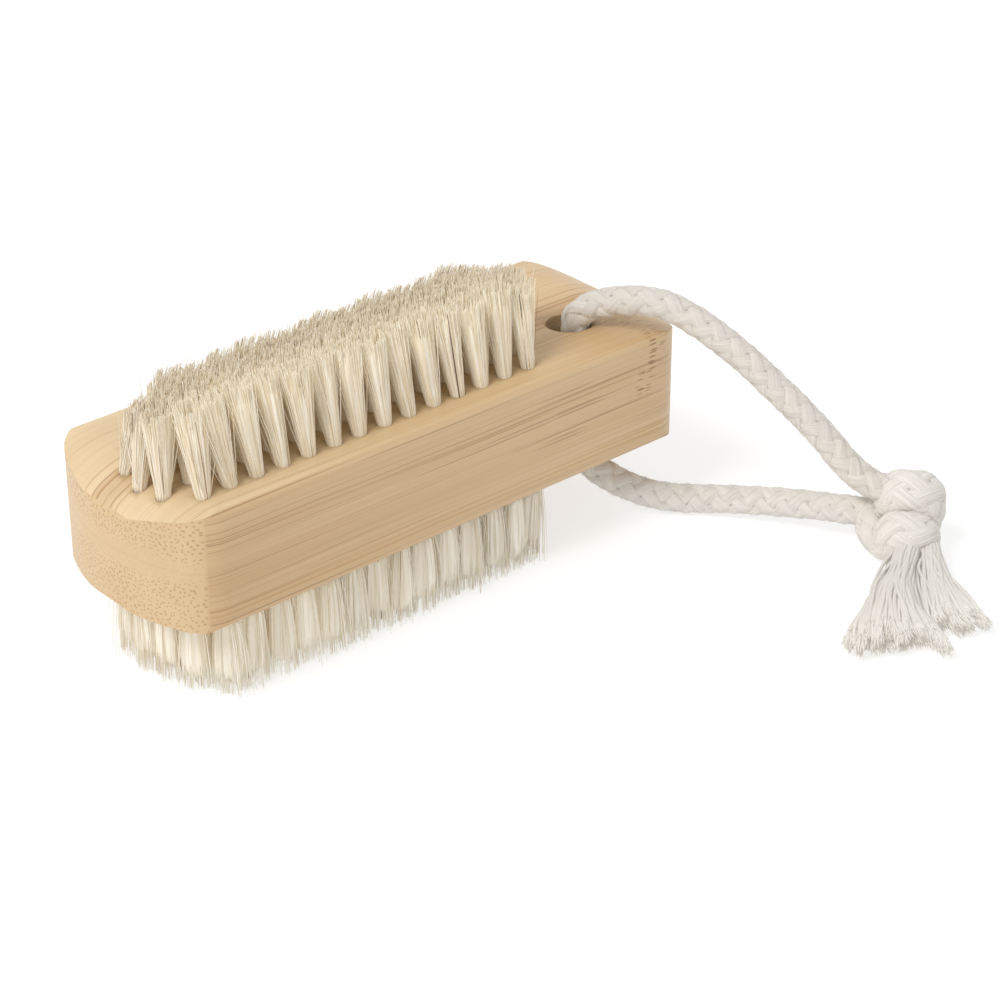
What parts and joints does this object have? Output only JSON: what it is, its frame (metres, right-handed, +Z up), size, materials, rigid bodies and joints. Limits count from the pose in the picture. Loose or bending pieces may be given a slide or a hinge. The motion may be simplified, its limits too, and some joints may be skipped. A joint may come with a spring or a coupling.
{
  "type": "nail brush",
  "caption": "Double-sided wooden nail brush with bristles above and below a rounded block and a knotted carrying cord through one end.",
  "frame": {"origin": "middle of the brush's footprint, on the surface that the lower bristles stand on", "axes": "+X along the block towards the cord's bore, +Z up, from the lower bristles to the upper ones"},
  "size_m": [0.1169, 0.0919, 0.045],
  "materials": {
    "bamboo": "smooth waxed bamboo",
    "bristle": "natural cream bristle",
    "anchor_wire": "plain flat wire",
    "cotton": "braided off-white cotton"
  },
  "bodies": {
    "root": {"lower_ply": "bamboo", "upper_ply": "bamboo", "upper_row_1": "bristle", "upper_row_2": "bristle", "upper_row_3": "bristle", "upper_row_4": "bristle", "upper_row_5": "bristle", "lower_row_1": "bristle", "lower_row_2": "bristle", "lower_row_3": "bristle", "lower_row_4": "bristle", "lower_row_5": "bristle", "lower_row_6": "bristle", "lower_row_7": "bristle", "upper_anchors": "anchor_wire", "lower_anchors": "anchor_wire", "cord_bore": "cotton", "cord_upper": "cotton", "cord_lower": "cotton", "knot": "cotton", "fray_left": "cotton", "fray_right": "cotton"}
  },
  "joints": []
}
